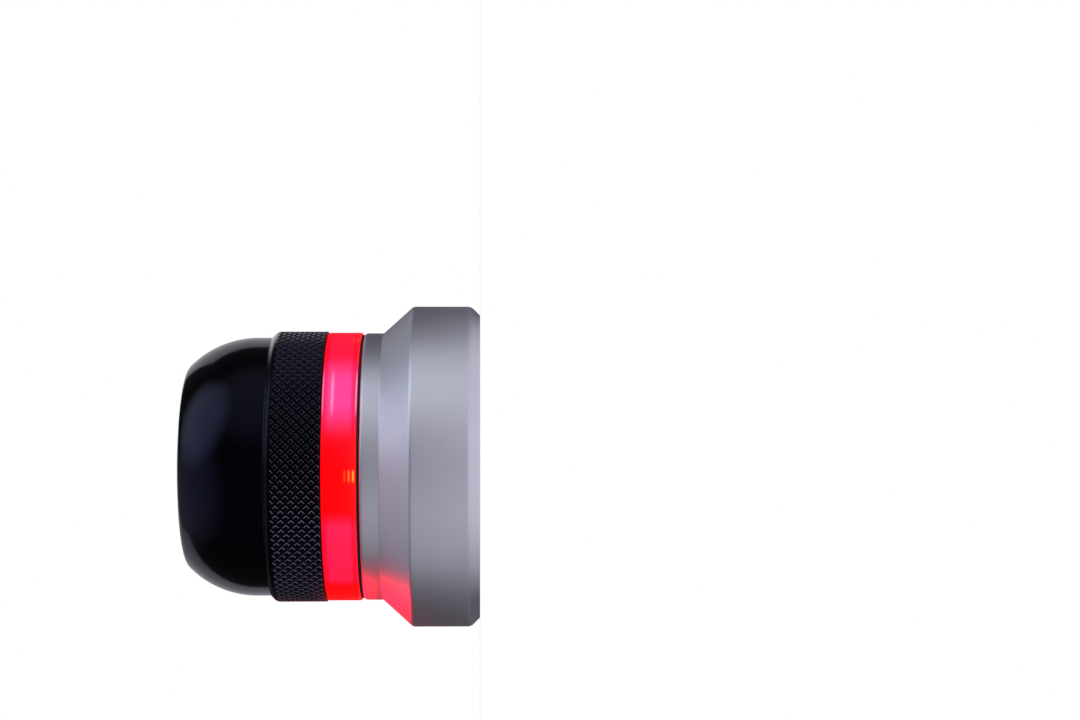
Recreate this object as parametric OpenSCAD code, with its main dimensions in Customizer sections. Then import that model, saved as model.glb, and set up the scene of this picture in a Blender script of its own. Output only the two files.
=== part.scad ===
// Lit tool setter: a turned base, a light ring, a knurled housing that unscrews, and a sprung cap.
// Millimetres, +Z up, origin at the centre of the underside. The cap is drawn at its rest height.

/* [Overall] */
// Gauge height, from the underside to the measuring face at rest
gauge_h = 50; // [48:0.5:60]

/* [Base] */
// Diameter of the flange that stands on the table
flange_d = 55; // [52:0.5:65]
// Height of the flange's top edge above the underside
flange_h = 11.4; // [10:0.1:13]
// Chamfer round the foot
foot_chamfer = 1.5; // [0.5:0.1:2.5]
// Height of the cone between the flange and the neck
cone_h = 5.1; // [4:0.1:6.5]
// How far the neck's side lies inside the peaks of the knurl
neck_step = 0.15; // [0:0.05:0.5]
// Height of the neck
neck_h = 3.5; // [3:0.1:4.5]
// Wall of the neck round the board
neck_wall = 1.6; // [1.2:0.1:2]
// Diameter of the shallow relief in the underside
relief_d = 40; // [30:1:45]
// Depth of the relief
relief_depth = 0.6; // [0.3:0.1:1.5]

/* [Light ring] */
// How far the light ring's side lies inside the peaks of the knurl
light_step = 0.2; // [0:0.05:0.5]
// Height of the light ring that shows
light_h = 5.7; // [4.5:0.1:8]
// Thickness of the gasket under the light ring
lower_gasket_t = 0.4; // [0.2:0.1:0.8]
// Thickness of the gasket above the light ring
upper_gasket_t = 0.3; // [0.2:0.1:0.8]
// How far the gaskets lie inside the outer surface
gasket_inset = 0.4; // [0.2:0.1:0.8]
// Width of the gasket above the light ring
upper_gasket_w = 1.1; // [0.6:0.1:2]
// Thickness of the screwed ledge inside the light ring
ledge_t = 3; // [2:0.1:4]
// Width of the screwed ledge
ledge_w = 3.8; // [3.4:0.1:4.4]
// Length of the thread on the spigot
thread_l = 3; // [2.5:0.1:4]
// Wall of the threaded spigot
spigot_wall = 2.1; // [1.6:0.1:2.2]

/* [Knurled ring] */
// Diameter over the knurl
ring_d = 46.4; // [43:0.1:52]
// Height of the ring
ring_h = 9; // [8.5:0.1:11]
// Distance between neighbouring peaks of the knurl
knurl_pitch = 1.7; // [1.4:0.1:2.4]
// Depth of the knurl
knurl_depth = 0.35; // [0.2:0.05:0.4]
// Height of the plain chamfer above the knurl
lip_h = 1.26; // [0.8:0.02:1.6]
// Width of the lip's narrow top face
lip_land = 0.3; // [0.2:0.05:0.4]
// Thickness of the web that carries the plunger
web_t = 3; // [2.2:0.1:4]
// How far the plunger's boss hangs below the web
boss_drop = 7; // [5:0.1:8]
// How far the plunger's boss stands above the web
boss_rise = 5.4; // [4:0.1:6.5]
// Wall of the boss round the bush
boss_wall = 2; // [1.2:0.1:3]

/* [Cap] */
// How far the cap's side lies inside the peaks of the knurl
cap_step = 1.05; // [0.9:0.05:1.5]
// Diameter of the flat measuring face
face_d = 33.7; // [28:0.1:38]
// Height of the cap's straight side above the ring
cap_side_h = 2.6; // [1.5:0.1:4]
// Travel of the cap when it is pressed
cap_travel = 2.5; // [1:0.1:2.5]
// Length of the skirt inside the ring at rest
cap_engage = 1.2; // [0.8:0.1:1.4]
// Wall of the cap
cap_wall = 1.8; // [1.4:0.1:2.2]
// Thickness of the crown under the measuring face
crown_t = 4; // [3:0.1:4.5]
// Radius of the hub that takes the stem
hub_r = 6; // [5:0.1:7]
// Width of the break at the rim of the measuring face
face_edge = 0.3; // [0.1:0.05:0.6]

/* [Plunger] */
// Diameter of the plunger stem
stem_d = 8; // [6:0.1:9]
// Diameter of the stem's threaded end
stem_thread_d = 5; // [3:0.5:5]
// Length of the stem's threaded end
stem_thread_l = 5.5; // [4:0.1:6]
// Length of stem below the stop clip
stem_tail = 1.2; // [0.8:0.1:2]
// Wall of the guide bush
bush_wall = 1.5; // [1:0.1:2]
// Thickness of the stop clip
clip_t = 0.8; // [0.5:0.1:1]
// Depth of the clip's groove in the stem
clip_groove = 0.8; // [0.5:0.1:1]
// Width of the clip outside the stem
clip_reach = 2.2; // [2:0.1:3]
// Wire diameter of the return spring
wire_d = 1; // [0.6:0.1:1.2]
// Number of turns of the return spring
spring_turns = 6.5; // [5:0.5:7]
// Gap between the boss and the return spring
spring_gap = 2.2; // [1:0.1:3]

/* [Electrics] */
// Diameter of the coin cell
cell_d = 20; // [16:0.5:20]
// Height of the coin cell
cell_h = 3.2; // [1.6:0.1:3.5]
// Height of the contact disc under the cell
disc_h = 0.8; // [0.5:0.1:1.2]
// Wall of the sleeve round the cell
sleeve_wall = 0.9; // [0.6:0.1:1]
// Thickness of the circuit board
board_t = 1.2; // [0.8:0.1:1.6]
// Width of the board's free strip inside the ledge
probe_zone = 2; // [1.8:0.1:2.2]
// Thickness of the sheet that the cell clips are bent from
clip_sheet = 0.3; // [0.2:0.05:0.4]
// Number of lamps
led_count = 6; // [3:1:8]
// Angle of the first lamp
led_angle = 26; // [0:1:59]
// Height of a lamp
led_h = 1.5; // [1.1:0.1:1.8]
// Width of a lamp, across the light ring's channel
led_w = 1.2; // [0.8:0.1:1.6]
// Diameter of the contact probe's barrel
probe_d = 1.5; // [1:0.1:1.6]
// Thickness of the contact ring
contact_t = 0.6; // [0.4:0.1:1]

/* [Fits] */
// Radial running clearance of the cap and the stem
slide_clear = 0.05; // [0.02:0.01:0.1]
// Radial clearance of the threads and of pieces that drop in
seat_clear = 0.1; // [0.05:0.05:0.2]
// Free space beyond each end of the travel
end_clear = 0.3; // [0.2:0.05:0.5]
// Broken edge on turned pieces
edge = 0.25; // [0.1:0.05:0.4]

/* [Hidden] */
$fn = 128;

// Heights of the stack, from the table up
flange_r = flange_d / 2;
ring_r = ring_d / 2;
neck_r = ring_r - neck_step;
light_r = ring_r - light_step;
cap_r = ring_r - cap_step;
stem_r = stem_d / 2;
cone_top = flange_h + cone_h;
neck_top = cone_top + neck_h;
light_z = neck_top + lower_gasket_t;
light_top = light_z + light_h;
ring_z = light_top + upper_gasket_t;
ring_top = ring_z + ring_h;
side_top = ring_top + cap_side_h;

// Knurled ring: threaded skirt, web, collar round the cap, and boss
spigot_top = ring_z + thread_l;
web_z = spigot_top + end_clear;
web_top = web_z + web_t;
cap_z = ring_top - cap_engage;
channel_z = cap_z - cap_travel - end_clear;
collar_r = cap_r + slide_clear;
skirt_r = cap_r - cap_wall;
plateau_r = skirt_r - 2 * seat_clear;
bush_in = stem_r + slide_clear;
bush_r = bush_in + bush_wall;
boss_r = bush_r + boss_wall;
boss_z = web_z - boss_drop;
boss_top = web_top + boss_rise;
shoulder_z = ring_top - lip_h;
knurl_root = 0.25;
knurl_lap = 0.2;
knurl_sink = 0.04;
knurl_lift = 0.12;
core_r = ring_r - knurl_depth - knurl_root;
shoulder_r = ring_r - 2 * knurl_sink;

// Cap: an arc that is tangent to the side and ends at the rim of the measuring face
face_r = face_d / 2;
dome_h = gauge_h - side_top;
dome_in = cap_r - face_r;
dome_r = (dome_h * dome_h + dome_in * dome_in) / (2 * dome_in);
dome_x = cap_r - dome_r;
rim_slope = tan(atan2(face_r - dome_x, dome_h) / 2);
ceiling_z = gauge_h - crown_t;
hub_clear = 0.9;
hub_z = boss_top + cap_travel + hub_clear;

// Plunger, cell and board, each placed from the one above it
clip_top = boss_z - slide_clear;
clip_z = clip_top - clip_t;
stem_z = clip_z - stem_tail;
groove_r = stem_r - clip_groove;
cell_gap = clip_sheet + end_clear;
cell_top = stem_z - cap_travel - cell_gap - end_clear;
cell_z = cell_top - cell_h;
pocket_z = cell_z - disc_h;
cell_r = cell_d / 2;
sleeve_in = cell_r + seat_clear;
sleeve_r = sleeve_in + sleeve_wall;
pocket_r = sleeve_r + seat_clear;
board_drop = 1;
board_top = light_z - board_drop;
shelf_z = board_top - board_t;
recess_r = neck_r - neck_wall;
board_r = recess_r - seat_clear;

// Light ring: a wall and a foot with the lamps' channel between them, a screwed ledge and a spigot
ledge_in = pocket_r + probe_zone;
ledge_top = board_top + ledge_t;
spigot_in = ledge_in + ledge_w;
thread_r = spigot_in + spigot_wall;
channel_gap = 1.1;
lamp_top = board_top + led_h;
lamp_roof = lamp_top + channel_gap;
foot_step = 0.6;
foot_r = spigot_in + foot_step;
wall_in = board_r;
lamp_r = (foot_r + wall_in) / 2;

// Fixings and contacts
screw_count = 3;
screw_r = 1;
screw_head_r = 1.5;
screw_head_h = 1.4;
screw_l = 9;
screw_x = (ledge_in + spigot_in) / 2;
probe_x = pocket_r + probe_zone / 2;
probe_tip_r = probe_d / 4;
probe_tip_l = 3;
contact_w = probe_zone;
contact_recess = contact_t / 2;
contact_z = web_z + contact_recess - contact_t;
touch_gap = 0.02;

aluminium = "silver";
black = [0.06, 0.06, 0.07];
rubber = [0.02, 0.02, 0.02];
red_lens = [0.95, 0.03, 0.06];
steel = [0.62, 0.63, 0.65];
bronze = [0.66, 0.49, 0.24];
brass = [0.80, 0.66, 0.30];
board_green = [0.05, 0.30, 0.14];
chip_black = [0.1, 0.1, 0.1];
sleeve_white = [0.9, 0.9, 0.88];

// A ring of rectangular section
module washer(outer, inner, z, h) {
    translate([0, 0, z]) difference() {
        cylinder(r = outer, h = h);
        translate([0, 0, -h]) cylinder(r = inner, h = 3 * h);
    }
}

// Copies of the children, evenly round the axis
module around(count, first = 0) {
    for (i = [0 : count - 1]) rotate(first + i * 360 / count) children();
}

// Base: flange, cone and neck turned from the bar, with the shelf and pocket bored from above
module base_body() {
    color(aluminium) difference() {
        rotate_extrude() polygon([
            [0, relief_depth],
            [relief_d / 2, relief_depth],
            [relief_d / 2, 0],
            [flange_r - foot_chamfer, 0],
            [flange_r, foot_chamfer],
            [flange_r, flange_h - edge],
            [flange_r - edge, flange_h + edge * cone_h / (flange_r - neck_r) - edge],
            [neck_r, cone_top],
            [neck_r, neck_top - edge],
            [neck_r - edge, neck_top],
            [recess_r, neck_top],
            [recess_r, shelf_z],
            [pocket_r, shelf_z],
            [pocket_r, pocket_z],
            [0, pocket_z]
        ]);
        around(screw_count) translate([screw_x, 0, ledge_top - screw_l - end_clear])
            cylinder(r = screw_r + seat_clear / 2, h = screw_l);
    }
}

module lower_gasket() {
    color(rubber) washer(neck_r - gasket_inset, recess_r + seat_clear, neck_top, lower_gasket_t);
}

// Ring-shaped board: the cell passes through its bore, the lamps stand near its rim
module circuit_board() {
    color(board_green) difference() {
        washer(board_r, pocket_r, shelf_z, board_t);
        around(screw_count) translate([screw_x, 0, shelf_z - board_t])
            cylinder(r = screw_r + seat_clear, h = 3 * board_t);
    }
}

// A resistor beside each lamp and one driver chip in the free strip
module board_chips() {
    resistor = [0.6, 1.1, 0.45];
    driver = [1.4, 1.8, 0.8];
    color(chip_black) {
        around(led_count, led_angle + 180 / led_count) translate([lamp_r, 0, board_top + resistor[2] / 2])
            cube(resistor, center = true);
        rotate(270) translate([probe_x, 0, board_top + driver[2] / 2]) cube(driver, center = true);
    }
}

// Lamps: a body and a round lens
module leds() {
    led_l = 2;
    lens_h = 0.4;
    lens_edge = 0.1;
    body = [led_w, led_l, led_h - lens_h];
    lens_r = led_w / 2 - lens_edge;
    color(red_lens) around(led_count, led_angle) translate([lamp_r, 0, board_top]) {
        translate([0, 0, body[2] / 2]) cube(body, center = true);
        cylinder(r = lens_r, h = led_h);
    }
}

// Light ring: the wall that glows, the ledge that clamps the board, and the threaded spigot
module light_ring() {
    color(red_lens) difference() {
        rotate_extrude() polygon([
            [wall_in, light_z],
            [light_r - edge, light_z],
            [light_r, light_z + edge],
            [light_r, light_top - edge],
            [light_r - edge, light_top],
            [thread_r, light_top],
            [thread_r, spigot_top - edge],
            [thread_r - edge, spigot_top],
            [spigot_in, spigot_top],
            [spigot_in, ledge_top],
            [ledge_in, ledge_top],
            [ledge_in, board_top],
            [foot_r, board_top],
            [foot_r, lamp_roof],
            [wall_in, lamp_roof]
        ]);
        around(screw_count) translate([screw_x, 0, board_top - ledge_t])
            cylinder(r = screw_r + seat_clear, h = 3 * ledge_t);
    }
}

// Pan-head screws through the ledge and the board into the base, with a hexagon socket
module ring_screws() {
    socket_r = 0.75;
    socket_h = 0.8;
    color(steel) around(screw_count) translate([screw_x, 0, ledge_top]) difference() {
        union() {
            cylinder(r = screw_head_r, h = screw_head_h);
            translate([0, 0, -screw_l]) cylinder(r = screw_r, h = screw_l + screw_head_h / 2);
        }
        translate([0, 0, screw_head_h - socket_h]) cylinder(r = socket_r, h = screw_head_h, $fn = 6);
    }
}

module cell_sleeve() {
    color(sleeve_white) washer(sleeve_r, sleeve_in, pocket_z, disc_h + cell_h - end_clear);
}

// Conical disc that stands on its rim and meets the cell with its inner edge
module contact_disc() {
    rim_in = 2;
    mouth_r = 3;
    rim_r = cell_r - rim_in;
    color(brass) rotate_extrude() polygon([
        [rim_r, pocket_z],
        [rim_r, pocket_z + clip_sheet],
        [mouth_r, cell_z],
        [mouth_r, cell_z - clip_sheet]
    ]);
}

// Coin cell: the can, and the smaller lid underneath
module coin_cell() {
    lid_h = 0.4;
    lid_in = 1.1;
    color(steel) rotate_extrude() polygon([
        [0, cell_z],
        [cell_r - lid_in, cell_z],
        [cell_r - lid_in, cell_z + lid_h],
        [cell_r - edge, cell_z + lid_h],
        [cell_r, cell_z + lid_h + edge],
        [cell_r, cell_top - edge],
        [cell_r - edge, cell_top],
        [0, cell_top]
    ]);
}

// Two bent clips: a foot on the board, a leg through its bore and a finger on the cell
module cell_clips() {
    width = 3;
    finger_l = 3.3;
    leg = pocket_r - end_clear;
    finger = leg - finger_l;
    foot = pocket_r + probe_zone - end_clear;
    color(brass) around(2) translate([0, width / 2, 0]) rotate([90, 0, 0]) linear_extrude(width) polygon([
        [foot, board_top],
        [foot, board_top + clip_sheet],
        [leg - clip_sheet, board_top + clip_sheet],
        [leg - clip_sheet, cell_top + clip_sheet],
        [finger, cell_top + clip_sheet],
        [finger, cell_top],
        [leg, cell_top],
        [leg, board_top]
    ]);
}

// Probe: a barrel on the board and a thinner tip that meets the contact ring
module contact_probe() {
    tip_top = contact_z - touch_gap;
    color(brass) rotate(90) translate([probe_x, 0, 0]) {
        translate([0, 0, board_top]) cylinder(d = probe_d, h = tip_top - probe_tip_l - board_top);
        translate([0, 0, board_top]) cylinder(r = probe_tip_r, h = tip_top - board_top);
    }
}

module upper_gasket() {
    outer = light_r - gasket_inset;
    color(rubber) washer(outer, outer - upper_gasket_w, light_top, upper_gasket_t);
}

// Diamond knurl: on a half-pitch grid every other corner is a peak, and the grooves join the corners between
module knurl(peak_r, depth, inner_r, z, height, count, rows) {
    columns = 2 * count;
    step = 360 / columns;
    skin = [
        for (j = [0 : rows]) for (i = [0 : columns - 1])
            let (r = (i + j) % 2 == 0 ? peak_r : peak_r - depth)
            [r * cos(i * step), r * sin(i * step), z + height * j / rows]
    ];
    lining = [
        for (j = [0, 1]) for (i = [0 : columns - 1])
            [inner_r * cos(i * step), inner_r * sin(i * step), z + height * j]
    ];
    function at(i, j) = j * columns + i % columns;
    low = at(0, rows + 1);
    high = low + columns;
    cells = [for (j = [0 : rows - 1]) for (i = [0 : columns - 1]) [i, j]];
    skin_faces = [
        for (c = cells)
            let (a = at(c[0], c[1]), b = at(c[0] + 1, c[1]), t = at(c[0] + 1, c[1] + 1), s = at(c[0], c[1] + 1))
            each (c[0] + c[1]) % 2 == 0 ? [[a, s, b], [b, s, t]] : [[a, s, t], [a, t, b]]
    ];
    end_faces = [
        for (i = [0 : columns - 1])
            let (k = (i + 1) % columns)
            each [
                [low + i, low + k, high + k, high + i],
                [i, k, low + k, low + i],
                [at(i, rows), high + i, high + k, at(k, rows)]
            ]
    ];
    polyhedron(points = concat(skin, lining), faces = concat(skin_faces, end_faces));
}

// Knurled ring: skirt with the thread, web, collar and boss turned in one piece
module knurled_ring() {
    knurl_z = ring_z + knurl_lift;
    knurl_h = shoulder_z + knurl_sink - knurl_z;
    color(black) {
        rotate_extrude() polygon([
            [thread_r + slide_clear, ring_z],
            [core_r, ring_z],
            [core_r, shoulder_z],
            [shoulder_r, shoulder_z],
            [collar_r + lip_land, ring_top],
            [collar_r, ring_top],
            [collar_r, channel_z],
            [plateau_r, channel_z],
            [plateau_r, web_top],
            [boss_r, web_top],
            [boss_r, boss_top],
            [bush_r, boss_top],
            [bush_r, boss_z],
            [boss_r, boss_z],
            [boss_r, web_z],
            [probe_x - contact_w / 2, web_z],
            [probe_x - contact_w / 2, web_z + contact_recess],
            [probe_x + contact_w / 2, web_z + contact_recess],
            [probe_x + contact_w / 2, web_z],
            [thread_r + slide_clear, web_z]
        ]);
        knurl(
            peak_r = ring_r,
            depth = knurl_depth,
            inner_r = core_r - knurl_lap,
            z = knurl_z,
            height = knurl_h,
            count = round(PI * ring_d / knurl_pitch),
            rows = round(2 * knurl_h / knurl_pitch)
        );
    }
}

module guide_bush() {
    color(bronze) washer(bush_r, bush_in, boss_z, boss_top - boss_z);
}

module contact_ring() {
    color(brass) washer(probe_x + contact_w / 2, probe_x - contact_w / 2, contact_z, contact_t);
}

// Return spring: a helix whose first and last turns lie closed on their seats
module return_spring() {
    sides = 8;
    steps = 20;
    coil_r = boss_r + spring_gap + wire_d / 2;
    rise = ceiling_z - web_top - wire_d;
    coil_gap = 0.15;
    closed = wire_d + coil_gap;
    open =(rise - 2 * closed) / (spring_turns - 2);
    function height(t) =
        t < 1 ? t * closed :
        t > spring_turns - 1 ? rise - (spring_turns - t) * closed :
        closed + (t - 1) * open;
    count = round(spring_turns * steps);
    points = [
        for (k = [0 : count]) for (s = [0 : sides - 1])
            let (
                t = k / steps,
                r = coil_r + wire_d / 2 * cos(s * 360 / sides),
                z = web_top + wire_d / 2 + height(t) + wire_d / 2 * sin(s * 360 / sides)
            )
            [r * cos(360 * t), r * sin(360 * t), z]
    ];
    walls = [
        for (k = [0 : count - 1]) for (s = [0 : sides - 1])
            let (a = k * sides + s, b = k * sides + (s + 1) % sides)
            each [[a, b, b + sides], [a, b + sides, a + sides]]
    ];
    first = [for (s = [sides - 1 : -1 : 0]) s];
    last = [for (s = [0 : sides - 1]) count * sides + s];
    color(steel) polyhedron(points = points, faces = concat(walls, [first, last]));
}

// Half section under the dome's arc, shrunk by a wall and cut off level at a height
module dome_section(wall, z, top) {
    intersection() {
        translate([0, z]) square([cap_r - wall, top - z]);
        union() {
            translate([0, z]) square([cap_r - wall, side_top - z]);
            translate([0, side_top]) square([max(dome_x, edge), top - side_top]);
            translate([dome_x, side_top]) circle(dome_r - wall);
        }
    }
}

// Half section that trims the rim of the measuring face to a small break
module rim_trim() {
    drop = (cap_r - face_r + face_edge) * rim_slope;
    polygon([
        [0, cap_z],
        [cap_r, cap_z],
        [cap_r, gauge_h - drop],
        [face_r - face_edge, gauge_h],
        [0, gauge_h]
    ]);
}

// Cap: a domed shell with a flat measuring face and a hub for the stem
module sensing_cap() {
    hole_l = stem_thread_l + end_clear;
    color(black) rotate_extrude() difference() {
        intersection() {
            dome_section(0, cap_z, gauge_h);
            rim_trim();
        }
        difference() {
            dome_section(cap_wall, cap_z - cap_travel, ceiling_z);
            translate([0, hub_z]) square([hub_r, gauge_h - hub_z]);
        }
        translate([0, hub_z - end_clear]) square([stem_thread_d / 2 + slide_clear, hole_l + end_clear]);
    }
}

// Stem: tail, clip groove, guided length, and a thinner threaded end in the hub
module plunger_stem() {
    color(steel) rotate_extrude() polygon([
        [0, stem_z],
        [stem_r - edge, stem_z],
        [stem_r, stem_z + edge],
        [stem_r, clip_z],
        [groove_r, clip_z],
        [groove_r, clip_top],
        [stem_r, clip_top],
        [stem_r, hub_z],
        [stem_thread_d / 2, hub_z],
        [stem_thread_d / 2, hub_z + stem_thread_l],
        [0, hub_z + stem_thread_l]
    ]);
}

// Stop clip: an open ring that snaps into the stem's groove from the side
module stop_clip() {
    snap = 0.6;
    mouth = 2 * (groove_r - snap);
    color(steel) difference() {
        washer(stem_r + clip_reach, groove_r, clip_z, clip_t);
        translate([0, -mouth / 2, clip_z - clip_t]) cube([2 * (stem_r + clip_reach), mouth, 3 * clip_t]);
    }
}

base_body();
lower_gasket();
circuit_board();
board_chips();
leds();
light_ring();
ring_screws();
cell_sleeve();
contact_disc();
coin_cell();
cell_clips();
contact_probe();
upper_gasket();
knurled_ring();
guide_bush();
contact_ring();
return_spring();
sensing_cap();
plunger_stem();
stop_clip();
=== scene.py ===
import math

import bpy
import numpy as np
from mathutils import Matrix, Vector


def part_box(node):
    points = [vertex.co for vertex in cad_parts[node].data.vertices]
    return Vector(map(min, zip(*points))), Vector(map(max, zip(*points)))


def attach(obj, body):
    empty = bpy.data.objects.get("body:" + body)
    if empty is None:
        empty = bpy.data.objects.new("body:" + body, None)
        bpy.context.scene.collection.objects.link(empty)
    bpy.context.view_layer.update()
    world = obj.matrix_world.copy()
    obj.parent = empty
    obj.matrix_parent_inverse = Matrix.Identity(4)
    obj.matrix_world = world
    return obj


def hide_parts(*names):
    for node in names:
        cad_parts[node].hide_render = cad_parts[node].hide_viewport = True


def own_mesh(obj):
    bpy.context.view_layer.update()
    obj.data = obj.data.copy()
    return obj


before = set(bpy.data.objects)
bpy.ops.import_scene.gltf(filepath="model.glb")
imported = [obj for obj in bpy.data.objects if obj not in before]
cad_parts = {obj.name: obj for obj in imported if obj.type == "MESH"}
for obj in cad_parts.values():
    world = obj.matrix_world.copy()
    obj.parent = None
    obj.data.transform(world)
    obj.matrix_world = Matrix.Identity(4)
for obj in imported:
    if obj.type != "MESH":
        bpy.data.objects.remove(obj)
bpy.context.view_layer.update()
mm = 0.001
print("frame loaded:", len(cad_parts), "solids")


# Colours, nodes and materials

# sRGB hex to linear RGBA
def linearColour(code):
    channels = np.array([int(code[i:i + 2], 16) for i in (0, 2, 4)]) / 255
    dark = channels / 12.92
    light = ((channels + 0.055) / 1.055) ** 2.4
    return (*np.where(channels <= 0.04045, dark, light).tolist(), 1.0)


# adds a node, gives it its settings, and fills each socket with a value or a link
def addNode(tree, kind, sockets=None, **settings):
    node = tree.nodes.new("ShaderNode" + kind)
    for name, value in settings.items():
        setattr(node, name, value)
    for name, value in (sockets or {}).items():
        if isinstance(value, bpy.types.NodeSocket):
            tree.links.new(value, node.inputs[name])
        else:
            node.inputs[name].default_value = value
    return node.outputs


# a material with an empty node tree
def newMaterial(name):
    material = bpy.data.materials.new(name)
    material.use_nodes = True
    material.node_tree.nodes.clear()
    return material, material.node_tree


# the lathe's own coordinate: height minus radius, which grows steadily along every turned face
def turnedRun(tree):
    place = addNode(tree, "TexCoord")["Object"]
    x, y, z = addNode(tree, "SeparateXYZ", {0: place})
    acrossAxis = addNode(tree, "CombineXYZ", {0: x, 1: y})[0]
    radius = addNode(tree, "VectorMath", {0: acrossAxis}, operation="LENGTH")["Value"]
    run = addNode(tree, "Math", {0: z, 1: radius}, operation="SUBTRACT")[0]
    return place, run


noiseSpread = 0.6, 1.4      # range that the sum of two noises mostly keeps to
wearStart = 0.25            # wear below this leaves the black skin whole


# Turned aluminium: feed lines along the run, a fine blasted grain, both in the bump and the roughness
def turnedMetal(name, finish):
    material, tree = newMaterial(name)
    place, run = turnedRun(tree)
    lines = addNode(tree, "TexNoise", {"W": run, "Scale": 1 / (finish["feed"] * mm), "Detail": 2.0},
                    noise_dimensions="1D")[0]
    grain = addNode(tree, "TexNoise", {"Vector": place, "Scale": 1 / (finish["grain"] * mm),
                                       "Detail": 3.0})[0]
    cloud = addNode(tree, "TexNoise", {"Vector": place, "Scale": 1 / (finish["cloud"] * mm),
                                       "Detail": 2.0})[0]
    relief = addNode(tree, "Math", {0: grain, 1: finish["grainShare"], 2: lines}, operation="MULTIPLY_ADD")[0]
    bump = addNode(tree, "Bump", {"Height": relief, "Distance": finish["relief"] * mm, "Strength": 1.0})[0]
    mixed = addNode(tree, "Math", {0: grain, 1: cloud}, operation="ADD")[0]
    roughness = addNode(tree, "MapRange", {"Value": mixed, "From Min": noiseSpread[0],
                                           "From Max": noiseSpread[1],
                                           "To Min": finish["smooth"], "To Max": finish["rough"]})[0]
    colour = addNode(tree, "Mix", {"Factor": cloud, "A": linearColour(finish["colour"]),
                                   "B": linearColour(finish["colourTwo"])}, data_type="RGBA")[2]
    metallic = finish["metallic"]
    if "worn" in finish:
        edge = addNode(tree, "Attribute", attribute_name="edgeWear")["Fac"]
        metallic = addNode(tree, "MapRange", {"Value": edge, "From Min": wearStart,
                                              "To Max": finish["wornShare"]})[0]
        colour = addNode(tree, "Mix", {"Factor": metallic, "A": colour, "B": linearColour(finish["worn"])},
                         data_type="RGBA")[2]
    sockets = {"Base Color": colour, "Roughness": roughness, "Normal": bump, "Metallic": metallic}
    if "ior" in finish:
        sockets.update({"IOR": finish["ior"], "Specular Tint": linearColour(finish["tint"])})
    shader = addNode(tree, "BsdfPrincipled", sockets)[0]
    addNode(tree, "OutputMaterial", {"Surface": shader})
    return material


# Aluminium, turned, fine-blasted and clear anodised: soft grey, broad highlights, faint feed lines.
# The real feed is about 0.08 mm; it is drawn at 0.2 mm so that it shows.
satinAluminium = turnedMetal("satinClearAnodisedAluminium", {
    "colour": "d3d4da", "colourTwo": "cacbd3", "metallic": 1.0, "smooth": 0.4, "rough": 0.47,
    "feed": 0.2, "grain": 0.18, "cloud": 9.0, "grainShare": 0.5, "relief": 0.0012,
})

# Aluminium, turned and black anodised: near black, the oxide skin gives a clean dielectric gloss.
blackAluminium = turnedMetal("blackAnodisedTurnedAluminium", {
    "colour": "020203", "colourTwo": "040405", "metallic": 0.0, "ior": 1.36, "tint": "bcc0ff",
    "smooth": 0.09, "rough": 0.14,
    "feed": 0.25, "grain": 0.2, "cloud": 7.0, "grainShare": 0.4, "relief": 0.0005,
})

# The same black skin on the rolled knurl, a little rougher, and worn to bare metal along the diamonds' edges.
blackKnurl = turnedMetal("blackAnodisedRolledKnurl", {
    "colour": "030304", "colourTwo": "050507", "metallic": 0.0, "ior": 1.32, "tint": "b8b8f4",
    "worn": "a498ac", "wornShare": 0.72, "smooth": 0.18, "rough": 0.28,
    "feed": 0.3, "grain": 0.16, "cloud": 5.0, "grainShare": 0.8, "relief": 0.0012,
})

lampRing = {
    "radius": 23.0,                                 # mm
    "count": 5, "angle": 52.6,                      # bright zones round the ring, and the first one's angle
    "core": 5.5, "reach": 13.0,                     # full glow of a zone, and its end, mm round the ring
    "shadedSideAngle": 236.0,                             # the side painted as in shade, where all zones burn fully
    "sideGlow": 0.82, "sideGlowRange": (0.2, 0.8),  # share of the rest, painted paler as where daylight falls, and where it changes, in radii
    "lowGlow": 0.64, "lowGlowRange": (0.5, 0.9),    # least glow between the zones on that side, painted red as in shade
    "glareAngle": 268.6,                            # the lamp whose hot streaks are painted brightest, as a lamp facing the front shows
    "sideHot": 0.2, "sideHotRange": (0.6, 0.9),     # the others' share of its hot streaks
    "streakHalf": 1.25, "streakSoft": 0.7,          # half length of a hot streak and its soft end, mm
    "streakHeights": (20.6, 21.3, 22.0),            # one streak for each facet of the lamp's own lens, mm
    "streakLevels": (1.0, 0.55, 0.2), "streakWidth": 0.3,
    "highlightHeight": 24.2, "highlightHalf": 0.42,           # a painted highlight line round the wall, mm
    "bevelHighlightLow": 20.5, "bevelHighlightHigh": 25.56, "bevelHighlightSoft": 0.2,    # painted highlights on the bevels outside these heights, mm
    "highlightFade": 0.4,                                # glow that drowns the painted highlights
    "rimLow": 20.7, "rimHigh": 25.4, "rimSoft": 0.7,        # deeper colour outside these heights, mm
    "red": "ff0004", "hot": "ff7a28",               # light that comes through, and a lamp's own
    "skin": "900003", "milk": "d060c4", "deep": "a83488", "pale": "ffc0f0",     # what daylight shows, and pale for the painted highlights
    "glow": 0.72, "glowNear": 0.42, "glowHot": 1.1,
    "ior": 1.34, "grain": 1.2, "smooth": 0.16, "rough": 0.24,
}


# level at a height, falling smoothly to nought on both sides of it
def softBand(tree, z, height, half, level=1.0):
    apart = addNode(tree, "Math", {0: z, 1: height * mm}, operation="SUBTRACT")[0]
    gap = addNode(tree, "Math", {0: apart}, operation="ABSOLUTE")[0]
    return addNode(tree, "MapRange", {"Value": gap, "From Min": 0.0, "From Max": half * mm, "To Min": level,
                                      "To Max": 0.0}, interpolation_type="SMOOTHSTEP")[0]


# one near either end of the ring's wall, nought between them
def endBand(tree, z, low, high, soft):
    lower = addNode(tree, "MapRange", {"Value": z, "From Min": low * mm, "From Max": (low + soft) * mm,
                                       "To Min": 1.0, "To Max": 0.0})[0]
    upper = addNode(tree, "MapRange", {"Value": z, "From Min": (high - soft) * mm, "From Max": high * mm})[0]
    return addNode(tree, "Math", {0: lower, 1: upper}, operation="MAXIMUM")[0]


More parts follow.
